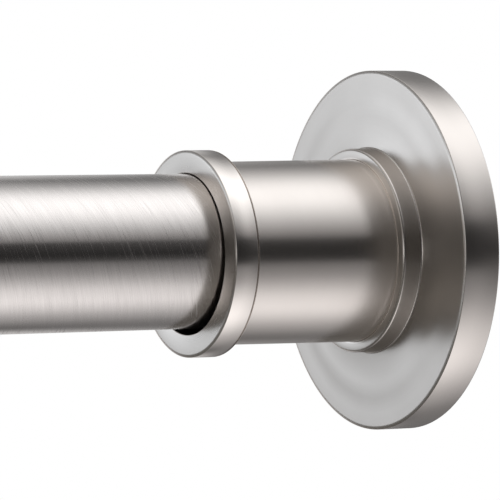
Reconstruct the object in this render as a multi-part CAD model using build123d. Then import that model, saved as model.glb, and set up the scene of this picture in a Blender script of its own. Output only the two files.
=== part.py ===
from build123d import *
import math
import os

# A spring tension rod for curtains: two telescopic tubes, wedged between two walls by a spring
# inside them, with a round metal cover over each end.
# The frame is in millimetres, +Z up, with X along the rod. The origin is the centre of the
# right-hand wall pad's face, so the rod runs from there towards -X.
# Every piece is drawn at its distance from a wall, as +X, and then placed at its own end.

# The rod as a whole, at its shortest
rod_length = 660.4
inner_tube_show = 120.4

# Tubes
outer_tube_radius = 12.7
outer_tube_wall = 0.8
inner_tube_wall = 0.8
tube_edge_break = 0.2

# Bush in the mouth of the outer tube
bush_wall = 0.72
bush_running_gap = 0.08
bush_lip_wall = 2.5
bush_lip_length = 3.0
bush_lip_round = 0.8
bush_depth = 22.0

# Metal cover: flange, sleeve and collar
cover_setback = 0.9
cover_drop = 0.45
cover_seat_gap = 0.05
cover_rib_gap = 0.3
flange_radius = 30.0
flange_rim_wall = 2.5
flange_depth = 6.6
flange_wall = 1.4
flange_bevel = 0.25
flange_back_bevel = 0.25
face_rise = 0.3
face_land = 4.5
face_slope = 4.0
hub_wall = 1.65
hub_draft = 0.1
hub_length = 3.6
hub_bevel = 0.3
hub_root_fillet = 0.3
hub_mouth_bevel = 0.25
sleeve_tube_gap = 1.1
sleeve_wall = 1.2
sleeve_draft = 0.2
sleeve_show = 27.0
sleeve_seat_depth = 3.9
sleeve_edge_break = 0.2
collar_wall = 1.95
collar_length = 4.4
collar_front_wall = 1.4
collar_bevel = 0.25
collar_back_bevel = 0.2
collar_bore_bevel = 0.15
collar_tube_gap = 0.68

# Rubber pad on the wall
pad_thickness = 3.0
pad_edge_round = 0.6
pad_groove_width = 1.2
pad_groove_depth = 0.7
pad_groove_pitch = 5.0
pad_groove_count = 3
pad_groove_margin = 5.5
pad_peg_radius = 4.0
pad_peg_length = 3.5

# Moulded foot that carries the pad and plugs the tube
foot_disc_thickness = 1.6
foot_lip_wall = 1.9
foot_lip_height = 1.2
foot_pad_gap = 0.1
foot_rib_width = 1.5
foot_rib_count = 8
foot_socket_wall = 1.2
foot_socket_gap = 0.1
foot_edge_break = 0.3
plug_length = 24.0
plug_wall = 2.0
plug_slack = 0.3
plug_web = 1.8
plug_lead_in = 1.2
crush_rib_count = 6
crush_rib_width = 1.6

# Twist lock on the guide rod
lock_start = 32.0
guide_rod_radius = 4.0
guide_flat_depth = 0.7
guide_running_gap = 0.1
guide_thread_gap = 0.05
guide_tip_bevel = 0.6
thread_pitch = 1.25
unlock_turns = 1.0
cone_slack = 0.15
cone_gap = 0.12
cone_head_length = 6.0
cone_head_gap = 1.1
cone_taper_length = 10.0
cone_taper_drop = 2.2
cone_key_width = 1.8
cone_key_inset = 0.5
expander_length = 28.0
expander_bore_gap = 0.08
expander_mouth_wall = 2.3
expander_end_wall = 7.0
expander_slot_width = 2.2
expander_slot_length = 20.0
expander_slot_count = 4
grip_groove_count = 5
grip_groove_pitch = 3.4
grip_groove_width = 1.2
grip_groove_depth = 0.4
moulding_break = 0.3
lock_hub_gap = 0.2
lock_hub_length = 10.0
lock_hub_bore_gap = 0.3
lock_hub_waist_depth = 1.2
lock_hub_rim = 2.6
hub_pin_radius = 1.5
hub_pin_gap = 0.02
washer_bore_gap = 1.5
washer_thickness = 1.5

# Retaining clips on the guide rod
clip_width = 3.6
clip_thickness = 1.2
clip_opening = 5.0
clip_groove_depth = 1.0
clip_groove_gap = 0.1
clip_end_margin = 2.4

# Spring
spring_length = 80.0
spring_mean_radius = 8.5
spring_wire = 1.8
spring_turns = 10
spring_closed_turns = 1.0
spring_closing_ramp = 0.6
spring_closed_pitch_factor = 1.08
spring_ground_share = 0.3
spring_points_per_turn = 12

# Plug in the inner tube, which the guide rod slides through
inner_plug_collar = 6.0
inner_plug_depth = 22.0
inner_plug_gap = 0.1
inner_plug_pocket_radius = 1.5
inner_plug_pocket_count = 6
inner_plug_pocket_depth = 16.0

# Radii that follow from those above
outer_bore_radius = outer_tube_radius - outer_tube_wall
bush_bore_radius = outer_bore_radius - bush_wall
inner_tube_radius = bush_bore_radius - bush_running_gap
inner_bore_radius = inner_tube_radius - inner_tube_wall
sleeve_bore_radius = outer_tube_radius + sleeve_tube_gap
sleeve_front_radius = sleeve_bore_radius + sleeve_wall
sleeve_root_radius = sleeve_front_radius + sleeve_draft
hub_front_radius = sleeve_root_radius + hub_wall
hub_root_radius = hub_front_radius + hub_draft
collar_radius = sleeve_front_radius + collar_wall
flange_recess_radius = flange_radius - flange_rim_wall
rise_start_radius = flange_radius - face_land
rise_end_radius = rise_start_radius - face_slope
foot_radius = flange_recess_radius - cover_drop - cover_seat_gap
foot_lip_bore = foot_radius - foot_lip_wall
pad_radius = foot_lip_bore - foot_pad_gap
guide_rod_flat = guide_rod_radius - guide_flat_depth
expander_radius = outer_bore_radius - expander_bore_gap
cone_mouth_radius = expander_radius - expander_mouth_wall - cone_gap
cone_tip_radius = cone_mouth_radius - cone_taper_drop
cone_head_radius = outer_bore_radius - cone_head_gap
cone_key_radius = expander_radius - cone_key_inset
lock_hub_radius = outer_bore_radius - lock_hub_bore_gap
lock_hub_waist = lock_hub_radius - lock_hub_waist_depth
washer_radius = outer_bore_radius - washer_bore_gap
clip_groove_radius = guide_rod_radius - clip_groove_depth
clip_radius = clip_groove_radius + clip_width

# Distances that follow, from the right-hand wall or, for a foot and a cover, from their own
tube_end = pad_thickness + foot_disc_thickness
flange_face = cover_setback + flange_depth
flange_web = flange_face - flange_wall
foot_rib_top = flange_web - cover_rib_gap
hub_face = flange_face + hub_length
sleeve_start = hub_face - sleeve_seat_depth
collar_back = hub_face + sleeve_show
collar_face = collar_back + collar_length
sleeve_end = collar_face - collar_front_wall
plug_end = tube_end + plug_length
bush_end = rod_length - inner_tube_show
outer_tube_mouth = bush_end - bush_lip_length
clip_groove_width = clip_thickness + 2 * clip_groove_gap
cone_clip_start = lock_start + clip_end_margin
cone_travel = thread_pitch * unlock_turns
cone_start = cone_clip_start + clip_thickness + cone_travel + cone_slack
cone_taper_start = cone_start + cone_head_length
cone_end = cone_taper_start + cone_taper_length
expander_start = cone_taper_start
expander_end = expander_start + expander_length
lock_hub_start = expander_end + lock_hub_gap
lock_hub_end = lock_hub_start + lock_hub_length
washer_end = lock_hub_end + washer_thickness
spring_end = washer_end + spring_length
inner_tube_start = spring_end + inner_plug_collar
inner_tube_end = rod_length - tube_end
inner_plug_end = inner_tube_start + inner_plug_depth
stop_clip_start = inner_plug_end + clip_groove_gap
guide_rod_end = stop_clip_start + clip_thickness + clip_end_margin

# Where each end's pieces go: the right-hand wall is at the origin, the left-hand one a rod away
right_end = Rot(0, 0, 180)
left_end = Pos(-rod_length, 0, 0)
dropped = Pos(0, 0, -cover_drop)


# Shared shapes

def turned(*corners):
    # A closed outline of (distance, radius) corners, turned about the rod's axis
    return revolve(make_face(Polyline(*corners, close=True)), Axis.X)


def turned_edges(*edges):
    # The same, from edges that already meet end to end
    return revolve(make_face(edges), Axis.X)


def rod_along_x(start, end, radius):
    return Pos((start + end) / 2, 0, 0) * Rot(0, 90, 0) * Cylinder(radius, end - start)


def bar_along_x(start, end, width, bottom, top):
    # A bar of a width along Y, between two heights over the axis
    middle = Pos((start + end) / 2, 0, (bottom + top) / 2)
    return middle * Box(end - start, width, top - bottom)


def round_the_axis(shape, count, first_angle=0.0):
    return [Rot(first_angle + 360.0 / count * step, 0, 0) * shape for step in range(count)]


def broken_tube(start, end, bore, radius, edge_break):
    # A plain tube with its outside corners broken at both ends
    return turned(
        (start, bore),
        (start, radius - edge_break),
        (start + edge_break, radius),
        (end - edge_break, radius),
        (end, radius - edge_break),
        (end, bore),
    )


# Tubes and bush

def outer_tube():
    return broken_tube(
        tube_end, outer_tube_mouth, outer_bore_radius, outer_tube_radius, tube_edge_break
    )


def inner_tube():
    return broken_tube(
        inner_tube_start, inner_tube_end, inner_bore_radius, inner_tube_radius, tube_edge_break
    )


def mouth_bush():
    lip_radius = bush_bore_radius + bush_lip_wall
    rounding = bush_end - bush_lip_round
    shoulder = lip_radius - bush_lip_round
    inside = outer_tube_mouth - bush_depth
    outline = Polyline(
        (bush_end, shoulder),
        (bush_end, bush_bore_radius),
        (inside, bush_bore_radius),
        (inside, outer_bore_radius),
        (outer_tube_mouth, outer_bore_radius),
        (outer_tube_mouth, lip_radius),
        (rounding, lip_radius),
    )
    corner = RadiusArc((rounding, lip_radius), (bush_end, shoulder), bush_lip_round)
    return turned_edges(outline, corner)


# Wall foot and rubber pad

def wall_pad():
    edge = pad_radius - pad_edge_round
    outline = Polyline(
        (0, edge),
        (0, 0),
        (pad_thickness + pad_peg_length, 0),
        (pad_thickness + pad_peg_length, pad_peg_radius),
        (pad_thickness, pad_peg_radius),
        (pad_thickness, pad_radius),
        (pad_edge_round, pad_radius),
    )
    corner = RadiusArc((pad_edge_round, pad_radius), (0, edge), -pad_edge_round)
    pad = turned_edges(outline, corner)
    for step in range(pad_groove_count):
        radius = pad_radius - pad_groove_margin - pad_groove_pitch * step
        pad -= turned(
            (0, radius - pad_groove_width / 2),
            (pad_groove_depth, radius - pad_groove_width / 2),
            (pad_groove_depth, radius + pad_groove_width / 2),
            (0, radius + pad_groove_width / 2),
        )
    return pad


def wall_foot(tube_radius, tube_bore):
    # The disc behind the pad, with a lip round the pad
    lip = pad_thickness - foot_lip_height
    foot = turned(
        (pad_thickness, pad_peg_radius),
        (pad_thickness, foot_lip_bore),
        (lip, foot_lip_bore),
        (lip, foot_radius - foot_edge_break),
        (lip + foot_edge_break, foot_radius),
        (tube_end - foot_edge_break, foot_radius),
        (tube_end, foot_radius - foot_edge_break),
        (tube_end, pad_peg_radius),
    )
    # The ring round the tube's end, and the stiffening ribs outside it
    socket_bore = tube_radius + foot_socket_gap
    socket_radius = socket_bore + foot_socket_wall
    foot += broken_tube(tube_end, foot_rib_top, socket_bore, socket_radius, foot_edge_break)
    rib_root = socket_radius - foot_socket_wall / 2
    rib_tip = foot_radius - foot_edge_break
    rib = bar_along_x(tube_end, foot_rib_top, foot_rib_width, rib_root, rib_tip)
    foot += round_the_axis(rib, foot_rib_count)
    # The hollow plug inside the tube, with a cross web and crush ribs
    plug_radius = tube_bore - plug_slack
    foot += turned(
        (tube_end, plug_radius - plug_wall),
        (tube_end, plug_radius),
        (plug_end - plug_lead_in, plug_radius),
        (plug_end, plug_radius - plug_lead_in),
        (plug_end, plug_radius - plug_wall),
    )
    web_start = pad_thickness + pad_peg_length
    web = bar_along_x(web_start, plug_end - plug_lead_in, plug_web, 0, plug_radius - plug_wall / 2)
    foot += round_the_axis(web, 4)
    return foot + crush_ribs(tube_end, plug_end, plug_radius, tube_bore)


def crush_ribs(start, end, body_radius, bore):
    # Ribs along a plug's body, which its tube's bore squeezes
    rib = bar_along_x(
        start, end - 2 * plug_lead_in, crush_rib_width, body_radius - plug_wall / 2, bore + plug_slack
    )
    rib &= rod_along_x(start, end, bore)
    return round_the_axis(rib, crush_rib_count, 15.0)


# Metal cover

def cover_flange():
    # Outline from the rim's back corner, over the face and hub, to the hole round the tube
    outside = Polyline(
        (cover_setback, flange_recess_radius),
        (cover_setback, flange_radius - flange_back_bevel),
        (cover_setback + flange_back_bevel, flange_radius),
        (flange_face - flange_bevel, flange_radius),
        (flange_face, flange_radius - flange_bevel),
        (flange_face, rise_start_radius),
    )
    face_centre = flange_face + face_rise
    rise = Spline(
        (flange_face, rise_start_radius),
        (face_centre, rise_end_radius),
        tangents=[(0, -1), (0, -1)],
    )
    hub_foot = hub_root_radius + hub_root_fillet
    hub_start = face_centre + hub_root_fillet
    centre = Line((face_centre, rise_end_radius), (face_centre, hub_foot))
    root = RadiusArc((face_centre, hub_foot), (hub_start, hub_root_radius), -hub_root_fillet)
    hole = outer_tube_radius + collar_tube_gap
    inside = Polyline(
        (hub_start, hub_root_radius),
        (hub_face - hub_bevel, hub_front_radius),
        (hub_face, hub_front_radius - hub_bevel),
        (hub_face, sleeve_root_radius + hub_mouth_bevel),
        (hub_face - hub_mouth_bevel, sleeve_root_radius),
        (sleeve_start, sleeve_root_radius),
        (sleeve_start, hole),
        (flange_web, hole),
        (flange_web, flange_recess_radius),
        (cover_setback, flange_recess_radius),
    )
    return turned_edges(outside, rise, centre, root, inside)


def cover_sleeve():
    # Straight in the hub and in the collar, with a slight draft between them
    return turned(
        (sleeve_start, sleeve_bore_radius),
        (sleeve_start, sleeve_root_radius - sleeve_edge_break),
        (sleeve_start + sleeve_edge_break, sleeve_root_radius),
        (hub_face, sleeve_root_radius),
        (collar_back, sleeve_front_radius),
        (sleeve_end - sleeve_edge_break, sleeve_front_radius),
        (sleeve_end, sleeve_front_radius - sleeve_edge_break),
        (sleeve_end, sleeve_bore_radius),
    )


def cover_collar(tube_radius):
    bore = tube_radius + collar_tube_gap
    return turned(
        (collar_back, sleeve_front_radius),
        (collar_back, collar_radius - collar_back_bevel),
        (collar_back + collar_back_bevel, collar_radius),
        (collar_face - collar_bevel, collar_radius),
        (collar_face, collar_radius - collar_bevel),
        (collar_face, bore + collar_bore_bevel),
        (collar_face - collar_bore_bevel, bore),
        (sleeve_end, bore),
        (sleeve_end, sleeve_front_radius),
    )


# Twist lock, inside the outer tube

def lock_cone():
    # A threaded head and a taper, with a key for each of the expander's slots
    bore = guide_rod_radius + guide_thread_gap
    head_end = cone_taper_start - lock_hub_gap
    cone = turned(
        (cone_start, bore),
        (cone_start, cone_head_radius - moulding_break),
        (cone_start + moulding_break, cone_head_radius),
        (head_end, cone_head_radius),
        (head_end, cone_mouth_radius),
        (cone_taper_start, cone_mouth_radius),
        (cone_end, cone_tip_radius),
        (cone_end, bore),
    )
    key_root = (bore + cone_tip_radius) / 2
    key = bar_along_x(head_end - moulding_break, cone_end, cone_key_width, key_root, cone_key_radius)
    return cone + round_the_axis(key, expander_slot_count)


def lock_expander():
    # A sleeve split into fingers, which the cone spreads against the outer tube's bore
    bore = guide_rod_radius + guide_running_gap
    seat_end = cone_end + cone_gap
    seat_tip = cone_tip_radius + cone_gap
    expander = turned(
        (expander_start, cone_mouth_radius + cone_gap),
        (expander_start, expander_radius - moulding_break),
        (expander_start + moulding_break, expander_radius),
        (expander_end - moulding_break, expander_radius),
        (expander_end, expander_radius - moulding_break),
        (expander_end, bore),
        (expander_end - expander_end_wall, bore),
        (expander_end - expander_end_wall, seat_tip),
        (seat_end, seat_tip),
    )
    slot = bar_along_x(
        expander_start - moulding_break, expander_start + expander_slot_length,
        expander_slot_width, bore, expander_radius + moulding_break,
    )
    for one in round_the_axis(slot, expander_slot_count):
        expander -= one
    for step in range(grip_groove_count):
        start = expander_start + grip_groove_pitch * (step + 1)
        expander -= turned(
            (start, expander_radius - grip_groove_depth),
            (start, expander_radius + grip_groove_depth),
            (start + grip_groove_width, expander_radius + grip_groove_depth),
            (start + grip_groove_width, expander_radius - grip_groove_depth),
        )
    return expander


def lock_hub():
    hub = turned(
        (lock_hub_start, guide_rod_radius),
        (lock_hub_start, lock_hub_radius),
        (lock_hub_start + lock_hub_rim, lock_hub_radius),
        (lock_hub_start + lock_hub_rim, lock_hub_waist),
        (lock_hub_end - lock_hub_rim, lock_hub_waist),
        (lock_hub_end - lock_hub_rim, lock_hub_radius),
        (lock_hub_end, lock_hub_radius),
        (lock_hub_end, guide_rod_radius),
    )
    return hub - hub_pin(hub_pin_gap)


def hub_pin(grow=0.0):
    # The cross pin through hub and guide rod, flush with the hub's waist
    length = 2 * math.sqrt(lock_hub_waist**2 - hub_pin_radius**2)
    middle = (lock_hub_start + lock_hub_end) / 2
    return Pos(middle, 0, 0) * Cylinder(hub_pin_radius + grow, length)


def guide_rod():
    rod = turned(
        (lock_start, 0),
        (lock_start, guide_rod_radius - guide_tip_bevel),
        (lock_start + guide_tip_bevel, guide_rod_radius),
        (guide_rod_end - guide_tip_bevel, guide_rod_radius),
        (guide_rod_end, guide_rod_radius - guide_tip_bevel),
        (guide_rod_end, 0),
    )
    # Two flats, from the washer to the far tip, which key the rod in the inner tube's plug
    flat = bar_along_x(
        washer_end, guide_rod_end, 2 * guide_rod_radius, guide_rod_flat, 2 * guide_rod_radius
    )
    for one in round_the_axis(flat, 2):
        rod -= one
    for start in (cone_clip_start, stop_clip_start):
        groove_start = start - clip_groove_gap
        rod -= turned(
            (groove_start, clip_groove_radius),
            (groove_start, 2 * guide_rod_radius),
            (groove_start + clip_groove_width, 2 * guide_rod_radius),
            (groove_start + clip_groove_width, clip_groove_radius),
        )
    return rod - hub_pin(hub_pin_gap)


def retaining_clip(start):
    end = start + clip_thickness
    ring = turned(
        (start, clip_groove_radius),
        (start, clip_radius),
        (end, clip_radius),
        (end, clip_groove_radius),
    )
    return ring - bar_along_x(start, end, clip_opening, 0, 2 * clip_radius)


def spring_washer():
    return turned(
        (lock_hub_end, guide_rod_radius),
        (lock_hub_end, washer_radius),
        (washer_end, washer_radius),
        (washer_end, guide_rod_radius),
    )


# Spring, with closed ends ground flat

def coil_spring():
    ground = spring_ground_share * spring_wire
    closed_pitch = spring_wire * spring_closed_pitch_factor
    steps = spring_turns * spring_points_per_turn

    def openness(turn):
        # 0 along the closed end coils, 1 along the open ones, with a ramp between
        from_end = min(turn, spring_turns - turn) - spring_closed_turns
        return max(0.0, min(1.0, from_end / spring_closing_ramp))

    shares = [openness((step + 0.5) / spring_points_per_turn) for step in range(steps)]
    height = spring_length - 2 * ground
    opening = (height - closed_pitch * spring_turns) / sum(shares)
    points = []
    along = washer_end + ground
    for step in range(steps + 1):
        angle = 2 * math.pi * step / spring_points_per_turn
        points.append(
            (along, spring_mean_radius * math.cos(angle), spring_mean_radius * math.sin(angle))
        )
        if step < steps:
            along += closed_pitch / spring_points_per_turn + opening * shares[step]
    line = Spline(*points)
    section = Plane(origin=line @ 0, z_dir=line % 0) * Circle(spring_wire / 2)
    coil = sweep(section, path=line, is_frenet=True)
    return coil & rod_along_x(washer_end, spring_end, spring_mean_radius + spring_wire)


# Plug in the inner tube's end

def inner_plug():
    collar = outer_bore_radius - inner_plug_gap
    body = inner_bore_radius - plug_slack
    plug = turned(
        (spring_end, 0),
        (spring_end, collar - moulding_break),
        (spring_end + moulding_break, collar),
        (inner_tube_start, collar),
        (inner_tube_start, body),
        (inner_plug_end - plug_lead_in, body),
        (inner_plug_end, body - plug_lead_in),
        (inner_plug_end, 0),
    )
    plug += crush_ribs(inner_tube_start, inner_plug_end, body, inner_bore_radius)
    # The bore follows the guide rod's two flats
    bore = guide_rod_radius + guide_running_gap
    flat = guide_rod_flat + guide_running_gap
    keyed_bore = rod_along_x(spring_end, inner_plug_end, bore)
    keyed_bore &= bar_along_x(spring_end, inner_plug_end, 2 * collar, -flat, flat)
    plug -= keyed_bore
    pocket_start = inner_plug_end - inner_plug_pocket_depth
    pocket = rod_along_x(pocket_start, inner_plug_end, inner_plug_pocket_radius)
    pocket = Pos(0, 0, (bore + body) / 2) * pocket
    for one in round_the_axis(pocket, inner_plug_pocket_count):
        plug -= one
    return plug


# Every piece at its place, by name

def pieces():
    made = {
        "outer_tube": right_end * outer_tube(),
        "mouth_bush": right_end * mouth_bush(),
        "inner_tube": right_end * inner_tube(),
        "inner_plug": right_end * inner_plug(),
        "lock_expander": right_end * lock_expander(),
        "lock_cone": right_end * lock_cone(),
        "lock_hub": right_end * lock_hub(),
        "hub_pin": right_end * hub_pin(),
        "guide_rod": right_end * guide_rod(),
        "cone_clip": right_end * retaining_clip(cone_clip_start),
        "stop_clip": right_end * retaining_clip(stop_clip_start),
        "spring_washer": right_end * spring_washer(),
        "spring": right_end * coil_spring(),
    }
    ends = (
        ("right", right_end, outer_tube_radius, outer_bore_radius),
        ("left", left_end, inner_tube_radius, inner_bore_radius),
    )
    for side, place, tube_radius, tube_bore in ends:
        made[side + "_pad"] = place * wall_pad()
        made[side + "_foot"] = place * wall_foot(tube_radius, tube_bore)
        made[side + "_flange"] = dropped * place * cover_flange()
        made[side + "_sleeve"] = dropped * place * cover_sleeve()
        made[side + "_collar"] = dropped * place * cover_collar(tube_radius)
    return made


os.makedirs("parts", exist_ok=True)
for name, shape in pieces().items():
    export_step(shape, "parts/" + name + ".step")
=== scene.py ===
import bpy
import bmesh
import math
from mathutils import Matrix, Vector


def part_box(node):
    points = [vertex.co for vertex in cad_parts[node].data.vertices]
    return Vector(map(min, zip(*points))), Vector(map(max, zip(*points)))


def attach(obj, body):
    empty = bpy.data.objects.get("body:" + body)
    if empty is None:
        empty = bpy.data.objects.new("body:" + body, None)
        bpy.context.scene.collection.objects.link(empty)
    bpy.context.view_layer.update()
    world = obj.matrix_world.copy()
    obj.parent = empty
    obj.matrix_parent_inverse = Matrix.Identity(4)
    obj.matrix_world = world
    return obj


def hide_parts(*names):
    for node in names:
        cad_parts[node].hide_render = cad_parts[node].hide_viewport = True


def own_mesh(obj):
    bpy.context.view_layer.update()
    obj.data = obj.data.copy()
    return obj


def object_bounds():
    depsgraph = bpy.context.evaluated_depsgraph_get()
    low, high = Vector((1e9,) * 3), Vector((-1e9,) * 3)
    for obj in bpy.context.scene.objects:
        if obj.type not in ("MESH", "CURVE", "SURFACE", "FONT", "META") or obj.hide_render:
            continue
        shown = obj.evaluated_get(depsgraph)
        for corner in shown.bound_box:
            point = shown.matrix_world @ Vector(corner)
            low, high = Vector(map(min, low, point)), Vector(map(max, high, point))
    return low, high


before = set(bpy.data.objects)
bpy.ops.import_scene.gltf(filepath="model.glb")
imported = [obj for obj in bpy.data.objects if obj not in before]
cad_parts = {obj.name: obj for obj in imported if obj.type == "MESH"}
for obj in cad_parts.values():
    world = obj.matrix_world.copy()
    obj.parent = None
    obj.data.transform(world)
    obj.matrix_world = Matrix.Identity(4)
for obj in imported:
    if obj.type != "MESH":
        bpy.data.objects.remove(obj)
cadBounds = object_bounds()
mm = 0.001

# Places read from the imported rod. A reach is a distance from the wall that an end stands on:
# the right wall is at x = 0, the left one a rod's length away.
rodLength = -cadBounds[0].x
flangeLow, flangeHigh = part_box("right_flange")
sleeveLow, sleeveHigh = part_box("right_sleeve")
collarLow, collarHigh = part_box("right_collar")
padLow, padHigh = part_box("right_pad")
tubeLow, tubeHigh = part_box("outer_tube")
innerLow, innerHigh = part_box("inner_tube")
bushLow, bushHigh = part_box("mouth_bush")
springLow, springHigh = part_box("spring")

coverSag = -(flangeLow.z + flangeHigh.z) / 2     # the loose covers hang this far under the axis
tubeRadius = tubeHigh.z
innerRadius = innerHigh.z
print("rod read:", round(rodLength / mm, 1), "mm long, tube", round(2 * tubeRadius / mm, 1), "mm across")


# Shaping: every turned piece is a closed outline of (reach, radius, corner rounding)

def roundCorners(outline, steps=5):
    # swaps each corner that has a rounding for a short arc that meets both its sides
    soft = []
    count = len(outline)
    for i, (reach, radius, rounding) in enumerate(outline):
        here = Vector((reach, radius))
        toLast = Vector(outline[i - 1][:2]) - here
        toNext = Vector(outline[(i + 1) % count][:2]) - here
        if rounding <= 0:
            soft.append(here)
            continue
        half = toLast.angle(toNext) / 2
        room = min(toLast.length, toNext.length) * math.tan(half)
        rounding = min(rounding, 0.45 * room)      # two neighbours' arcs never meet
        inset = rounding / math.tan(half)
        start = here + toLast.normalized() * inset
        end = here + toNext.normalized() * inset
        middle = here + (toLast.normalized() + toNext.normalized()).normalized() * rounding / math.sin(half)
        spin = (start - middle).angle_signed(end - middle)
        for k in range(steps + 1):
            arm = start - middle
            turn = -spin * k / steps
            soft.append(middle + Vector((
                arm.x * math.cos(turn) - arm.y * math.sin(turn),
                arm.x * math.sin(turn) + arm.y * math.cos(turn))))
    return soft


def finishMesh(bm, name, sharpAngle=32):
    bmesh.ops.recalc_face_normals(bm, faces=bm.faces)
    mesh = bpy.data.meshes.new(name)
    bm.to_mesh(mesh)
    bm.free()
    mesh.polygons.foreach_set("use_smooth", [True] * len(mesh.polygons))
    mesh.set_sharp_from_angle(angle=math.radians(sharpAngle))
    piece = bpy.data.objects.new(name, mesh)
    bpy.context.scene.collection.objects.link(piece)
    return piece


def spinOutline(bm, side, outline, sag=0.0, slices=224):
    # turns an outline round the rod, at the right-hand or the left-hand end
    wall, inward = (0.0, -1.0) if side == "right" else (-rodLength, 1.0)
    points = roundCorners(outline)
    rings = []
    for k in range(slices):
        c = math.cos(2 * math.pi * k / slices)
        s = math.sin(2 * math.pi * k / slices)
        rings.append([(wall + inward * p.x, p.y * c, p.y * s - sag) for p in points])
    verts = [[None] * len(points) for ring in rings]
    for i, p in enumerate(points):
        onAxis = bm.verts.new(rings[0][i]) if p.y < 1e-7 else None      # one point closes a solid end
        for k in range(slices):
            verts[k][i] = onAxis or bm.verts.new(rings[k][i])
    for k in range(slices):
        here, there = verts[k], verts[(k + 1) % slices]
        for i in range(len(points)):
            j = (i + 1) % len(points)
            corners = []
            for v in (here[i], there[i], there[j], here[j]):
                if v not in corners:
                    corners.append(v)
            if len(corners) > 2:
                bm.faces.new(corners)


def placePiece(piece, body, node, material):
    piece.data.materials.append(material)
    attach(piece, body)
    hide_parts(node)


# Finishes: small helpers for the shader trees

def addNode(tree, kind, settings=None, **sockets):
    # a socket goes by its name, or by n and its number where a node has several of one name
    node = tree.nodes.new(kind)
    for key, value in (settings or {}).items():
        setattr(node, key, value)
    for key, value in sockets.items():
        numbered = key[0] == "n" and key[1:].isdigit()
        socket = node.inputs[int(key[1:]) if numbered else key]
        if isinstance(value, bpy.types.NodeSocket):
            tree.links.new(value, socket)
        else:
            socket.default_value = value
    return node


def sums(tree, operation, first, second=0.0):
    return addNode(tree, "ShaderNodeMath", {"operation": operation}, n0=first, n1=second).outputs[0]


def product(tree, first, *others):
    for other in others:
        first = sums(tree, "MULTIPLY", first, other)
    return first


def remap(tree, value, low, high, start=0.0, end=1.0):
    # takes start..end to low..high, and holds the ends beyond them
    node = addNode(tree, "ShaderNodeMapRange", None, Value=value, n1=start, n2=end, n3=low, n4=high)
    return node.outputs[0]


def softStep(tree, value, low, high):
    # 0 below low and 1 above it, or the other way round where low is the larger
    if low > high:
        return sums(tree, "SUBTRACT", 1.0, softStep(tree, value, high, low))
    return addNode(tree, "ShaderNodeMapRange", {"interpolation_type": "SMOOTHSTEP"}, Value=value,
                   n1=low, n2=high).outputs[0]


def mixValues(tree, share, first, second):
    return addNode(tree, "ShaderNodeMix", {"data_type": "FLOAT"}, n0=share, n2=first, n3=second).outputs[0]


def mixColours(tree, share, first, second):
    return addNode(tree, "ShaderNodeMix", {"data_type": "RGBA"}, n0=share, n6=first, n7=second).outputs[2]


def grain(tree, coords, detail=2.0, roughness=0.5):
    # noise with features about one unit of coords long
    node = addNode(tree, "ShaderNodeTexNoise", {"noise_dimensions": "3D"}, Vector=coords,
                   Scale=1.0, Detail=detail, Roughness=roughness)
    return node.outputs["Fac"]


def rodCoords(tree, sag=0.0):
    # x along the rod, y and z across it from its axis
    place = addNode(tree, "ShaderNodeTexCoord").outputs["Object"]
    axes = addNode(tree, "ShaderNodeSeparateXYZ", None, Vector=place).outputs
    return axes["X"], axes["Y"], sums(tree, "ADD", axes["Z"], sag)


def angleRound(tree, y, z):
    # 0 toward the front, and a quarter turn straight up
    return sums(tree, "ARCTAN2", z, sums(tree, "MULTIPLY", y, -1.0))


def fromAxis(tree, y, z):
    square = sums(tree, "ADD", sums(tree, "MULTIPLY", y, y), sums(tree, "MULTIPLY", z, z))
    return sums(tree, "SQRT", square)


def endReach(tree, x):
    # the distance from the nearer wall
    middle = rodLength / 2
    return sums(tree, "SUBTRACT", middle, sums(tree, "ABSOLUTE", sums(tree, "ADD", x, middle)))


def stretched(tree, along, across, upright, sizes):
    # scales three coordinates so that one unit of each is a feature of the size given, in mm
    pairs = zip((along, across, upright), sizes)
    scaled = [sums(tree, "MULTIPLY", value, 1 / (size * mm)) for value, size in pairs]
    return addNode(tree, "ShaderNodeCombineXYZ", None, n0=scaled[0], n1=scaled[1], n2=scaled[2]).outputs[0]


def inMetres(sizes):
    return [size * mm for size in sizes]


def newFinish(name, colour, metallic, roughness):
    material = bpy.data.materials.new(name)
    material.use_nodes = True
    shader = material.node_tree.nodes["Principled BSDF"]
    shader.inputs["Base Color"].default_value = (*colour, 1)
    shader.inputs["Metallic"].default_value = metallic
    shader.inputs["Roughness"].default_value = roughness
    return material, material.node_tree, shader


def varyColour(tree, shader, value, dark, light):
    mixed = mixColours(tree, value, (*dark, 1), (*light, 1))
    tree.links.new(mixed, shader.inputs["Base Color"])


def shadeColour(tree, shader, value, dark, light, shade):
    # varyColour, with both ends made lighter or darker by a share
    ends = [addNode(tree, "ShaderNodeVectorMath", {"operation": "SCALE"}, n0=end, Scale=shade).outputs[0]
            for end in (dark, light)]
    tree.links.new(mixColours(tree, value, *ends), shader.inputs["Base Color"])


def addRelief(tree, shader, height, depth, strength=1.0):
    bump = addNode(tree, "ShaderNodeBump", None, Strength=strength, Distance=depth, Height=height)
    tree.links.new(bump.outputs[0], shader.inputs["Normal"])


def brushRound(tree, shader, amount):
    # marks that run round the rod, so a reflection smears along it
    shader.inputs["Anisotropic"].default_value = amount
    shader.inputs["Anisotropic Rotation"].default_value = 0.25      # a quarter turn
    tangent = addNode(tree, "ShaderNodeTangent", {"direction_type": "RADIAL", "axis": "X"})
    tree.links.new(tangent.outputs[0], shader.inputs["Tangent"])


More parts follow.
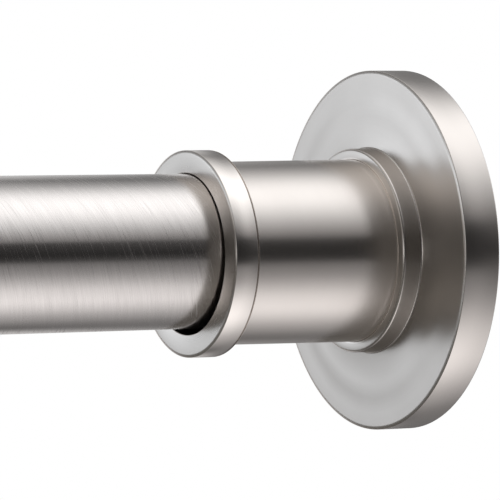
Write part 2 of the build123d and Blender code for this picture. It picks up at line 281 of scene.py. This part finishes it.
brushedTube = {       # sizes in mm
    "dark": (0.71, 0.68, 0.665), "light": (0.785, 0.753, 0.737),
    "roughness": (0.165, 0.225), "anisotropy": 0.55, "relief": 0.0014,
    "slant": 0.36,                    # how far the brush walks along the tube for each step round it
    "line": (0.20, 6.0, 6.0),         # a brush line's width and length
    "band": (1.1, 9.0, 9.0),          # broad uneven bands in the brushing
    "bandShare": 0.35, "contrast": (0.32, 0.68),
    "scratch": (0.17, 5.5, 5.5), "scratchFrom": (0.57, 0.78),
    "scratchDull": 0.17,              # duller along a scratch
    "worn": 0.45,                     # share of the scratches left where the collar rides
    "paintedLightTone": 1.26,               # painted light: the colour made brighter there
    "rubbedAndPaintedLightReach": (47.5, 43.0),      # from the wall, where the rubbing and the painted light start and where they are full
}


def brushedNickel(name):
    # fine lines that run round the tube on a slant, as a belt leaves them
    v = brushedTube
    material, tree, shader = newFinish(name, v["light"], 1.0, v["roughness"][0])
    x, y, z = rodCoords(tree)
    walk = sums(tree, "ADD", x, sums(tree, "MULTIPLY", angleRound(tree, y, z), v["slant"] * tubeRadius))
    lines = grain(tree, stretched(tree, walk, y, z, v["line"]), detail=1.5, roughness=0.6)
    bands = grain(tree, stretched(tree, walk, y, z, v["band"]))
    brushing = remap(tree, mixValues(tree, v["bandShare"], lines, bands), 0.0, 1.0, *v["contrast"])
    # painted light: toward the collar the tube's colour is made brighter; the same mask thins out its
    # scratches
    rubbedAndPaintedLight = softStep(tree, endReach(tree, x), *inMetres(v["rubbedAndPaintedLightReach"]))
    shadeColour(tree, shader, brushing, v["dark"], v["light"], remap(tree, rubbedAndPaintedLight, 1.0, v["paintedLightTone"]))
    fine = grain(tree, stretched(tree, walk, y, z, v["scratch"]), detail=0.5)
    scratches = remap(tree, fine, 0.0, v["scratchDull"], *v["scratchFrom"])
    scratches = product(tree, scratches, remap(tree, rubbedAndPaintedLight, 1.0, v["worn"]))
    dull = sums(tree, "ADD", remap(tree, brushing, v["roughness"][1], v["roughness"][0]), scratches)
    tree.links.new(dull, shader.inputs["Roughness"])
    addRelief(tree, shader, lines, v["relief"] * mm)
    brushRound(tree, shader, v["anisotropy"])
    return material


satinCover = {        # sizes in mm
    "dark": (0.70, 0.660, 0.632), "light": (0.78, 0.738, 0.708),
    "roughness": (0.21, 0.27), "anisotropy": 0.30, "relief": 0.0003,
    "cloud": 9.0,                     # soft tone changes
    "turning": 0.35,                  # between the faint turning lines
    "turningShare": 0.3, "turningLength": 600.0,
    "speck": 0.20, "speckShare": 0.12, "speckRelief": 0.5,
    "toneSpan": (0.1, 0.9),
    "flatFrom": (0.90, 0.99),         # how squarely a flat face looks along the rod
    "faceRoughness": 0.06, "faceTone": 1.0,
    "paintedCornerShade": 0.88,               # painted shade: darker between the flange and its hub
    "paintedCornerShadeReach": (10.95, 10.65), "paintedCornerShadeRadius": (17.9, 17.3),
    "paintedSheenTone": 1.30,               # painted light: the sleeve's colour made brighter toward its hub
    "paintedSheenReach": (20.0, 12.0), "paintedSheenRadius": (15.6, 15.4),
}

brighterCollar = dict(satinCover, dark=(0.83, 0.787, 0.755), light=(0.91, 0.863, 0.83),
                      roughness=(0.19, 0.23), faceTone=0.90)


def coverShade(tree, v, flat, reach, radius):
    # how much lighter or darker a place is: the faces, painted shade at the root of the hub and painted
    # light on the sleeve toward it
    # painted shade on the hub's barrel, next to the flange
    corner = product(tree, softStep(tree, reach, *inMetres(v["paintedCornerShadeReach"])),
                     softStep(tree, radius, *inMetres(v["paintedCornerShadeRadius"])), softStep(tree, flat, 1.0, 0.0))
    # painted light on the sleeve toward its hub
    paintedSheen = product(tree, softStep(tree, reach, *inMetres(v["paintedSheenReach"])),
                     softStep(tree, radius, *inMetres(v["paintedSheenRadius"])))
    return product(tree, remap(tree, flat, 1.0, v["faceTone"]), remap(tree, corner, 1.0, v["paintedCornerShade"]),
                   remap(tree, paintedSheen, 1.0, v["paintedSheenTone"]))


def satinNickel(name, sag, v):
    # plated and blasted smooth, with faint turning lines round the axis
    material, tree, shader = newFinish(name, v["light"], 1.0, v["roughness"][0])
    x, y, z = rodCoords(tree, sag)
    radius = fromAxis(tree, y, z)
    clouds = grain(tree, stretched(tree, x, y, z, (v["cloud"],) * 3), detail=3.0)
    turning = (v["turning"], v["turning"], v["turningLength"])
    rings = grain(tree, stretched(tree, x, radius, angleRound(tree, y, z), turning))
    specks = grain(tree, stretched(tree, x, y, z, (v["speck"],) * 3), detail=1.0)
    tone = mixValues(tree, v["speckShare"], mixValues(tree, v["turningShare"], clouds, rings), specks)
    facing = addNode(tree, "ShaderNodeNewGeometry").outputs["Normal"]
    endOn = sums(tree, "ABSOLUTE", addNode(tree, "ShaderNodeSeparateXYZ", None, Vector=facing).outputs["X"])
    flat = softStep(tree, endOn, *v["flatFrom"])
    shade = coverShade(tree, v, flat, endReach(tree, x), radius)
    shadeColour(tree, shader, remap(tree, tone, *v["toneSpan"]), v["dark"], v["light"], shade)
    # the flat faces come out a little duller than the turned barrels
    duller = product(tree, flat, v["faceRoughness"])
    dull = sums(tree, "ADD", remap(tree, tone, v["roughness"][1], v["roughness"][0]), duller)
    tree.links.new(dull, shader.inputs["Roughness"])
    addRelief(tree, shader, mixValues(tree, v["speckRelief"], rings, specks), v["relief"] * mm)
    brushRound(tree, shader, v["anisotropy"])
    return material


padFinish = {         # sizes in mm
    "dark": (0.20, 0.20, 0.205), "light": (0.29, 0.29, 0.295),
    "roughness": (0.62, 0.78), "speck": 0.35, "bloom": 7.0, "relief": 0.03,
}


def mouldedRubber(name):
    v = padFinish
    material, tree, shader = newFinish(name, v["light"], 0.0, v["roughness"][0])
    x, y, z = rodCoords(tree)
    specks = grain(tree, stretched(tree, x, y, z, (v["speck"],) * 3), detail=3.0, roughness=0.65)
    bloom = grain(tree, stretched(tree, x, y, z, (v["bloom"],) * 3), detail=3.0)
    varyColour(tree, shader, bloom, v["dark"], v["light"])
    tree.links.new(remap(tree, bloom, *v["roughness"]), shader.inputs["Roughness"])
    addRelief(tree, shader, specks, v["relief"] * mm, strength=0.6)
    return material


plasticFinishes = {
    "foot_plastic": {"dark": (0.56, 0.56, 0.55), "light": (0.64, 0.64, 0.63), "roughness": (0.53, 0.40)},
    "bush_plastic": {"dark": (0.80, 0.80, 0.78), "light": (0.88, 0.88, 0.86), "roughness": (0.44, 0.31)},
    "lock_nylon": {"dark": (0.78, 0.76, 0.69), "light": (0.87, 0.85, 0.79), "roughness": (0.48, 0.35)},
}
plasticSkin = {"speck": 0.22, "flow": 5.0, "relief": 0.008}      # mm


def mouldedPlastic(name):
    # injection moulded, with a fine spark-eroded skin
    v = dict(plasticSkin, **plasticFinishes[name])
    material, tree, shader = newFinish(name, v["light"], 0.0, v["roughness"][0])
    x, y, z = rodCoords(tree)
    skin = grain(tree, stretched(tree, x, y, z, (v["speck"],) * 3), roughness=0.6)
    flow = grain(tree, stretched(tree, x, y, z, (v["flow"],) * 3), detail=3.0)
    varyColour(tree, shader, flow, v["dark"], v["light"])
    tree.links.new(remap(tree, flow, *v["roughness"]), shader.inputs["Roughness"])
    addRelief(tree, shader, skin, v["relief"] * mm, strength=0.5)
    return material


steelFinishes = {
    "plated_steel": {"dark": (0.52, 0.53, 0.54), "light": (0.70, 0.71, 0.72), "roughness": (0.42, 0.24)},
    "spring_steel": {"dark": (0.30, 0.29, 0.28), "light": (0.48, 0.465, 0.45), "roughness": (0.46, 0.28)},
}
steelSkin = {"streak": (6.0, 0.3, 0.3), "patch": 4.0, "relief": 0.006}      # mm


def drawnSteel(name):
    # drawn wire and rod: streaks along the rod, with a few duller patches
    v = dict(steelSkin, **steelFinishes[name])
    material, tree, shader = newFinish(name, v["light"], 1.0, v["roughness"][0])
    x, y, z = rodCoords(tree)
    streaks = grain(tree, stretched(tree, x, y, z, v["streak"]), detail=3.0, roughness=0.6)
    patches = grain(tree, stretched(tree, x, y, z, (v["patch"],) * 3), detail=3.0)
    varyColour(tree, shader, patches, v["dark"], v["light"])
    tree.links.new(remap(tree, patches, *v["roughness"]), shader.inputs["Roughness"])
    addRelief(tree, shader, streaks, v["relief"] * mm, strength=0.6)
    return material


tubeNickel = brushedNickel("tubeNickel")
coverNickel = satinNickel("coverNickel", coverSag, satinCover)
collarNickel = satinNickel("collarNickel", coverSag, brighterCollar)
padRubber = mouldedRubber("padRubber")
footPlastic = mouldedPlastic("foot_plastic")
bushPlastic = mouldedPlastic("bush_plastic")
lockNylon = mouldedPlastic("lock_nylon")
platedSteel = drawnSteel("plated_steel")
springSteel = drawnSteel("spring_steel")
print("finishes mixed:", len(bpy.data.materials))


# The two tubes and the bush between them

tubeShape = {"wall": 0.8, "edge": 0.2}      # mm


def makeTube(name, low, high, body, node):
    wall = tubeShape["wall"] * mm
    edge = tubeShape["edge"] * mm
    start, end, radius = -high.x, -low.x, high.z
    bm = bmesh.new()
    spinOutline(bm, "right", [
        (start, radius, edge), (end, radius, edge),
        (end, radius - wall, edge), (start, radius - wall, edge)], slices=256)
    placePiece(finishMesh(bm, name), body, node, tubeNickel)


makeTube("outerTube", tubeLow, tubeHigh, "fixed_end", "outer_tube")
makeTube("innerTube", innerLow, innerHigh, "sliding_end", "inner_tube")

bushShape = {         # mm
    "lip": 3.0, "lipRounding": 0.8, "lipRoot": 0.15, "bore": 11.18, "mouthRounding": 0.35,
}


def makeMouthBush():
    v = bushShape
    inside, end = -bushHigh.x, -bushLow.x
    lip = end - v["lip"] * mm
    bore = v["bore"] * mm
    insert = tubeRadius - tubeShape["wall"] * mm
    bm = bmesh.new()
    spinOutline(bm, "right", [
        (inside, insert, 0), (lip, insert, 0), (lip, bushHigh.z, v["lipRoot"] * mm),
        (end, bushHigh.z, v["lipRounding"] * mm), (end, bore, v["mouthRounding"] * mm), (inside, bore, 0)])
    placePiece(finishMesh(bm, "mouthBush"), "fixed_end", "mouth_bush", bushPlastic)


makeMouthBush()
print("tubes and bush made")


# The metal covers: a flange with its hub, a sleeve and a collar at each end

flangeShape = {       # mm
    "depth": 6.6, "rimWall": 2.5, "webWall": 1.4, "hole": 13.38,
    "edge": 0.16, "edgeRun": 0.52, "edgeRounding": 0.13, "faceRounding": 0.8,      # the face's slight bevel
    "rise": 0.12, "riseLand": 3.9, "riseSlope": 2.7, "riseRounding": 60.0,         # the raised centre
    "hubFront": 16.98, "hubRoot": 17.02, "hubEdge": 0.46, "hubFoot": 0.30,
    "hubMouth": 0.08, "socketGap": 0.02,
    "backEdge": 0.25, "recessEdge": 0.1, "recessRoot": 0.4, "holeEdge": 0.1,       # hidden behind
}
sleeveShape = {"wall": 1.2, "front": 15.0, "seat": 3.9, "edge": 0.2}      # mm
collarShape = {       # mm
    "front": 1.4, "gap": 0.57, "boreEdge": 0.14,
    "edge": 0.15, "edgeRun": 0.48, "edgeRounding": 0.12, "faceRounding": 0.7,
    "seam": 0.12, "backEdge": 0.10, "lip": 0.08, "lipRounding": 0.02,      # the joint with the sleeve
    "groove": 0.22, "grooveDepth": 0.30,
}


def makeFlange(side):
    v = {key: value * mm for key, value in flangeShape.items()}
    back = -flangeHigh.x
    face = back + v["depth"]
    hubFace = -flangeLow.x
    rim = flangeHigh.y
    recess = rim - v["rimWall"]
    socket = sleeveHigh.y
    seat = -sleeveHigh.x
    centre = face + v["rise"]
    riseStart = rim - v["riseLand"]
    riseEnd = riseStart - v["riseSlope"]
    outline = [
        (back, recess, v["recessEdge"]), (back, rim, v["backEdge"]),
        (face - v["edge"], rim, v["edgeRounding"]), (face, rim - v["edgeRun"], v["faceRounding"]),
        (face, riseStart, v["riseRounding"]), (centre, riseEnd, v["riseRounding"]),
        (centre, v["hubRoot"], v["hubFoot"]), (hubFace, v["hubFront"], v["hubEdge"]),
        (hubFace, socket + v["socketGap"], v["hubMouth"]), (seat, socket, 0),
        (seat, v["hole"], v["holeEdge"]), (face - v["webWall"], v["hole"], v["holeEdge"]),
        (face - v["webWall"], recess, v["recessRoot"])]
    bm = bmesh.new()
    spinOutline(bm, side, outline, coverSag, slices=288)
    disc = finishMesh(bm, side + "FlangeDisc")
    placePiece(disc, side + "_cover", side + "_flange", coverNickel)


def makeSleeve(side):
    v = {key: value * mm for key, value in sleeveShape.items()}
    start, end = -sleeveHigh.x, -sleeveLow.x
    root = sleeveHigh.y
    bore = v["front"] - v["wall"]
    bm = bmesh.new()
    spinOutline(bm, side, [
        (start, bore, 0), (start, root, v["edge"]), (start + v["seat"], root, 0),
        (-collarHigh.x, v["front"], 0), (end, v["front"], v["edge"]), (end, bore, 0)], coverSag, slices=256)
    sleeve = finishMesh(bm, side + "Sleeve")
    placePiece(sleeve, side + "_cover", side + "_sleeve", coverNickel)


def makeCollar(side):
    v = {key: value * mm for key, value in collarShape.items()}
    back, face = -collarHigh.x, -collarLow.x
    radius = collarHigh.y
    bore = (tubeRadius if side == "right" else innerRadius) + v["gap"]
    seat = face - v["front"]
    lip = back + v["lip"]
    sleeve = sleeveShape["front"] * mm
    bm = bmesh.new()
    spinOutline(bm, side, [
        (back, sleeve + v["seam"], 0), (back, radius, v["backEdge"]), (lip, radius, v["lipRounding"]),
        (lip, radius - v["grooveDepth"], 0), (lip + v["groove"], radius - v["grooveDepth"], 0),
        (lip + v["groove"], radius, v["backEdge"]),
        (face - v["edge"], radius, v["edgeRounding"]), (face, radius - v["edgeRun"], v["faceRounding"]),
        (face, bore, v["boreEdge"]), (seat, bore, 0), (seat, sleeve, 0),
        (back + 2 * v["seam"], sleeve, 0)], coverSag, slices=288)
    collar = finishMesh(bm, side + "CollarRing")
    placePiece(collar, side + "_cover", side + "_collar", collarNickel)


for side in ("right", "left"):
    makeFlange(side)
    makeSleeve(side)
    makeCollar(side)
print("covers made")


# Rubber pads on the walls

padShape = {          # mm
    "edge": 0.6, "backEdge": 0.15, "thickness": 3.0, "peg": 4.0, "pegEdge": 0.3,
    "grooves": (9.5, 14.5, 19.5), "grooveWidth": 1.2, "grooveDepth": 0.7, "grooveEdge": 0.18,
}


def makePad(side):
    v = padShape
    radius, tip = padHigh.y, -padLow.x
    thickness, peg = v["thickness"] * mm, v["peg"] * mm
    half = v["grooveWidth"] / 2 * mm
    depth = v["grooveDepth"] * mm
    edge = v["grooveEdge"] * mm
    outline = [(0, 0, 0)]
    for groove in v["grooves"]:
        near, far = groove * mm - half, groove * mm + half
        outline += [(0, near, edge), (depth, near, edge), (depth, far, edge), (0, far, edge)]
    outline += [(0, radius, v["edge"] * mm), (thickness, radius, v["backEdge"] * mm),
                (thickness, peg, 0), (tip, peg, v["pegEdge"] * mm), (tip, 0, 0)]
    bm = bmesh.new()
    spinOutline(bm, side, outline, slices=192)
    body = "fixed_end" if side == "right" else "sliding_end"
    placePiece(finishMesh(bm, side + "WallPad"), body, side + "_pad", padRubber)


for side in ("right", "left"):
    makePad(side)
print("pads made")


# The spring, which the inner tube's plug squeezes against its washer

springShape = {       # lengths in mm, closed and ramp in turns, the angle in degrees
    "wire": 1.8, "turns": 10, "closed": 1.0, "ramp": 0.6, "closedPitch": 1.94, "ground": 0.54,
    "stepsPerTurn": 40, "sides": 14, "sharpAngle": 60, "shortest": 50.0,
}


def makeSpring():
    v = springShape
    wire = v["wire"] / 2 * mm
    reach = springHigh.z - wire
    low, high = springLow.x, springHigh.x
    steps = v["turns"] * v["stepsPerTurn"]
    openness = []      # of each step, from the closed ends to the open middle
    for k in range(steps):
        turn = (k + 0.5) / v["stepsPerTurn"]
        fromEnd = min(turn, v["turns"] - turn)
        openness.append(max(0.0, min(1.0, (fromEnd - v["closed"]) / v["ramp"])))
    ground = v["ground"] * mm
    closed = v["closedPitch"] * mm / v["stepsPerTurn"]
    spare = (high - low - 2 * ground - closed * steps) / sum(openness)
    bm = bmesh.new()
    rings = []
    along = high - ground
    for k in range(steps + 1):
        angle = 2 * math.pi * k / v["stepsPerTurn"]
        outward = Vector((0, math.cos(angle), math.sin(angle)))
        ring = []
        for side in range(v["sides"]):
            lean = 2 * math.pi * side / v["sides"]
            point = Vector((along, 0, 0)) + outward * (reach + wire * math.cos(lean))
            point.x = max(low, min(high, point.x + wire * math.sin(lean)))   # the ends are ground flat
            ring.append(bm.verts.new(point))
        rings.append(ring)
        if k < steps:
            along -= closed + spare * openness[k]
    for last, ring in zip(rings, rings[1:]):
        for side in range(v["sides"]):
            other = (side + 1) % v["sides"]
            bm.faces.new((last[side], last[other], ring[other], ring[side]))
    bm.faces.new(rings[0])
    bm.faces.new(rings[-1])
    coil = finishMesh(bm, "coilSpring", v["sharpAngle"])
    placePiece(coil, "guide", "spring", springSteel)
    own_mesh(coil)


makeSpring()
print("spring coiled")


# The hidden pieces keep their own shapes and take a finish

finishOf = {
    "right_foot": footPlastic, "left_foot": footPlastic,
    "inner_plug": lockNylon, "lock_expander": lockNylon, "lock_cone": lockNylon, "lock_hub": lockNylon,
    "hub_pin": platedSteel, "guide_rod": platedSteel, "cone_clip": platedSteel, "stop_clip": platedSteel,
    "spring_washer": platedSteel,
}
for node, material in finishOf.items():
    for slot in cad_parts[node].material_slots:
        slot.material = material
print("inner pieces finished:", len(finishOf))


# The floor under the rod

floorLook = {         # lengths in metres
    "drop": 0.17, "radius": 0.95, "sides": 96, "fade": (0.55, 0.931),
    "colour": (0.86, 0.86, 0.86), "glow": 0.60,
}


def makeFloor():
    v = floorLook
    bm = bmesh.new()
    bmesh.ops.create_circle(bm, cap_ends=True, segments=v["sides"], radius=v["radius"])
    mesh = bpy.data.meshes.new("floor")
    bm.to_mesh(mesh)
    bm.free()
    floor = bpy.data.objects.new("floor", mesh)
    floor.location = (-rodLength / 2, 0, -v["drop"])
    bpy.context.scene.collection.objects.link(floor)
    material = bpy.data.materials.new("floorPaper")
    material.use_nodes = True
    tree = material.node_tree
    tree.nodes.clear()
    paper = addNode(tree, "ShaderNodeBsdfDiffuse", None, Color=(*v["colour"], 1)).outputs[0]
    white = addNode(tree, "ShaderNodeEmission", None, Color=(1, 1, 1, 1), Strength=1.0).outputs[0]
    clear = addNode(tree, "ShaderNodeBsdfTransparent").outputs[0]
    light = addNode(tree, "ShaderNodeLightPath").outputs
    glow = product(tree, light["Is Camera Ray"], v["glow"])
    seen = addNode(tree, "ShaderNodeMixShader", None, n0=glow, n1=paper, n2=white).outputs[0]
    # fades out into the white round it, lets the studio show in metal, and is clear from below
    place = addNode(tree, "ShaderNodeTexCoord").outputs["Object"]
    away = addNode(tree, "ShaderNodeVectorMath", {"operation": "LENGTH"}, n0=place).outputs["Value"]
    fade = softStep(tree, away, *v["fade"])
    under = addNode(tree, "ShaderNodeNewGeometry").outputs["Backfacing"]
    gone = sums(tree, "MAXIMUM", sums(tree, "MAXIMUM", fade, under), light["Is Glossy Ray"])
    out = addNode(tree, "ShaderNodeMixShader", None, n0=gone, n1=seen, n2=clear).outputs[0]
    addNode(tree, "ShaderNodeOutputMaterial", None, Surface=out)
    mesh.materials.append(material)


makeFloor()


# The studio: a long soft box over the rod, a pale table under it, the dark room in front,
# and a white panel behind the rod on its left

studioLook = {
    # angle round the rod in degrees, from the camera's level up (+) and down (-), and its brightness
    "left": ((-180, 0.12), (-150, 0.11), (-125, 0.11), (-104, 0.12), (-84, 0.15), (-66, 0.18),
             (-32, 0.12), (-10, 0.075), (10, 0.06), (27, 0.075), (48, 0.12), (66, 0.27), (84, 0.45),
             (104, 0.54), (122, 0.49), (140, 0.28), (156, 0.12), (180, 0.12)),
    "middle": ((-180, 0.66), (-161, 0.60), (-150, 0.58), (-144, 0.40), (-132, 0.09), (-123, 0.20),
               (-101, 0.53), (-84, 0.98), (-76, 1.17), (-68, 1.24), (-54, 1.04), (-41, 0.65),
               (-28, 0.31), (-10.5, 0.18), (-9.5, 0.015), (19, 0.015), (20, 0.06), (28, 0.18),
               (41, 0.42), (54, 0.76), (68, 1.24), (84, 1.40), (92, 1.38), (101, 1.18), (112, 0.88),
               (123, 0.60), (139, 0.27), (150, 0.54), (161, 0.60), (180, 0.66)),
    "right": ((-180, 0.20), (-161, 0.14), (-123, 0.25), (-101, 0.53), (-84, 0.92), (-76, 1.07), (-68, 1.13),
              (-54, 1.03), (-41, 0.79), (-28, 0.50), (-10.5, 0.24), (-9.5, 0.024), (19, 0.024), (20, 0.37),
              (28, 0.62), (41, 1.04), (54, 1.42), (68, 1.58), (84, 1.42), (92, 1.20), (101, 0.91),
              (112, 0.58), (123, 0.32), (139, 0.15), (161, 0.16), (180, 0.20)),
    "far": ((-180, 0.20), (-150, 0.18), (-123, 0.20), (-101, 0.46), (-76, 0.84), (-54, 0.68), (-41, 0.42),
            (-28, 0.25), (0, 0.02), (20, 0.10), (28, 0.24), (41, 0.46), (54, 0.74), (68, 1.12), (84, 1.38),
            (101, 1.40), (123, 0.70), (139, 0.30), (161, 0.22), (180, 0.20)),
    "peak": 1.6,
    # where along the rod's own direction one ring gives way to the next
    "leftToMiddle": (-0.36, -0.05), "middleToRight": (0.45, 0.505), "rightToFar": (0.48, 0.64),
    # the tint of a ring's low part and of its part above highFrom, in degrees
    "highFrom": 40,
    "tints": ((1.0, 0.975, 0.97), (1.0, 1.0, 1.0)),
    "leftTints": ((1.0, 0.96, 0.88), (1.0, 0.975, 0.93)),
    # a white wall at the left, and a white panel behind the rod that runs on from it
    "wall": (-0.82, -0.93), "wallFoot": (-0.14, -0.04), "wallTop": (0.18, 0.02),
    "wallLight": 1.12, "wallTint": (1.0, 1.0, 1.0),
    "panelEnd": (-0.30, -0.56), "panelSide": (0.10, 0.40),
    "panelFoot": (-0.30, 0.04), "panelTop": (0.32, 0.18),
    "panelLight": 1.29, "panelTint": (0.93, 0.985, 1.035),
}


def tinted(light, tint):
    return (*(light / studioLook["peak"] * tone for tone in tint), 1)


def lightRing(tree, share, side):
    # brightness round the rod's axis
    v = studioLook
    lowTint, highTint = v["leftTints"] if side == "left" else v["tints"]
    ramp = addNode(tree, "ShaderNodeValToRGB", None, Fac=share)
    stops = ramp.color_ramp.elements
    while len(stops) > 1:
        stops.remove(stops[-1])
    for i, (degrees, light) in enumerate(v[side]):
        position = (degrees + 180) / 360
        stop = stops[0] if i == 0 else stops.new(position)
        stop.position = position
        stop.color = tinted(light, highTint if degrees > v["highFrom"] else lowTint)
    return ramp.outputs[0]


def makeStudio():
    v = studioLook
    world = bpy.data.worlds.new("studio")
    bpy.context.scene.world = world
    world.use_nodes = True
    tree = world.node_tree
    tree.nodes.clear()
    way = addNode(tree, "ShaderNodeTexCoord").outputs["Generated"]
    axes = addNode(tree, "ShaderNodeSeparateXYZ", None, Vector=way).outputs
    along, away, height = axes["X"], axes["Y"], axes["Z"]
    angle = angleRound(tree, away, height)
    share = sums(tree, "ADD", sums(tree, "MULTIPLY", angle, 0.5 / math.pi), 0.5)
    room = lightRing(tree, share, "left")
    for ring, start in (("middle", "leftToMiddle"), ("right", "middleToRight"), ("far", "rightToFar")):
        room = mixColours(tree, softStep(tree, along, *v[start]), room, lightRing(tree, share, ring))
    wall = product(tree, softStep(tree, along, *v["wall"]), softStep(tree, height, *v["wallFoot"]),
                   softStep(tree, height, *v["wallTop"]))
    room = mixColours(tree, wall, room, tinted(v["wallLight"], v["wallTint"]))
    panel = product(tree, softStep(tree, along, *v["panelEnd"]), softStep(tree, away, *v["panelSide"]),
                    softStep(tree, height, *v["panelFoot"]), softStep(tree, height, *v["panelTop"]))
    room = mixColours(tree, panel, room, tinted(v["panelLight"], v["panelTint"]))
    lit = addNode(tree, "ShaderNodeBackground", None, Color=room, Strength=v["peak"]).outputs[0]
    white = addNode(tree, "ShaderNodeBackground", None, Color=(1, 1, 1, 1), Strength=1.0).outputs[0]
    camera = addNode(tree, "ShaderNodeLightPath").outputs["Is Camera Ray"]
    both = addNode(tree, "ShaderNodeMixShader", None, n0=camera, n1=lit, n2=white).outputs[0]
    addNode(tree, "ShaderNodeOutputWorld", None, Surface=both)


makeStudio()


# The camera, at the photo's angle on the right-hand cover

cameraPlace = {
    "azimuth": -29.45, "elevation": 2.10,        # degrees
    "distance": 0.7161, "nearest": 0.01,         # metres
    "lens": 313.3, "sensor": 36.0,               # mm
    "aimReach": 30.4, "aimHeight": 0.0,          # mm from the right wall, and over the axis
}


def placeCamera():
    v = cameraPlace
    lens = bpy.data.cameras.new("photoCamera")
    camera = bpy.data.objects.new("photoCamera", lens)
    bpy.context.scene.collection.objects.link(camera)
    lens.sensor_width = v["sensor"]
    lens.lens = v["lens"]
    lens.clip_start = v["nearest"]
    aim = Vector((-v["aimReach"] * mm, 0, v["aimHeight"] * mm))
    a, e = math.radians(v["azimuth"]), math.radians(v["elevation"])
    back = Vector((math.sin(a) * math.cos(e), -math.cos(a) * math.cos(e), math.sin(e)))
    camera.location = aim + back * v["distance"]
    camera.rotation_mode = "QUATERNION"
    camera.rotation_quaternion = (-back).to_track_quat("-Z", "Y")
    bpy.context.scene.camera = camera


placeCamera()
bpy.context.scene.view_settings.view_transform = "Standard"
print("studio and camera set")
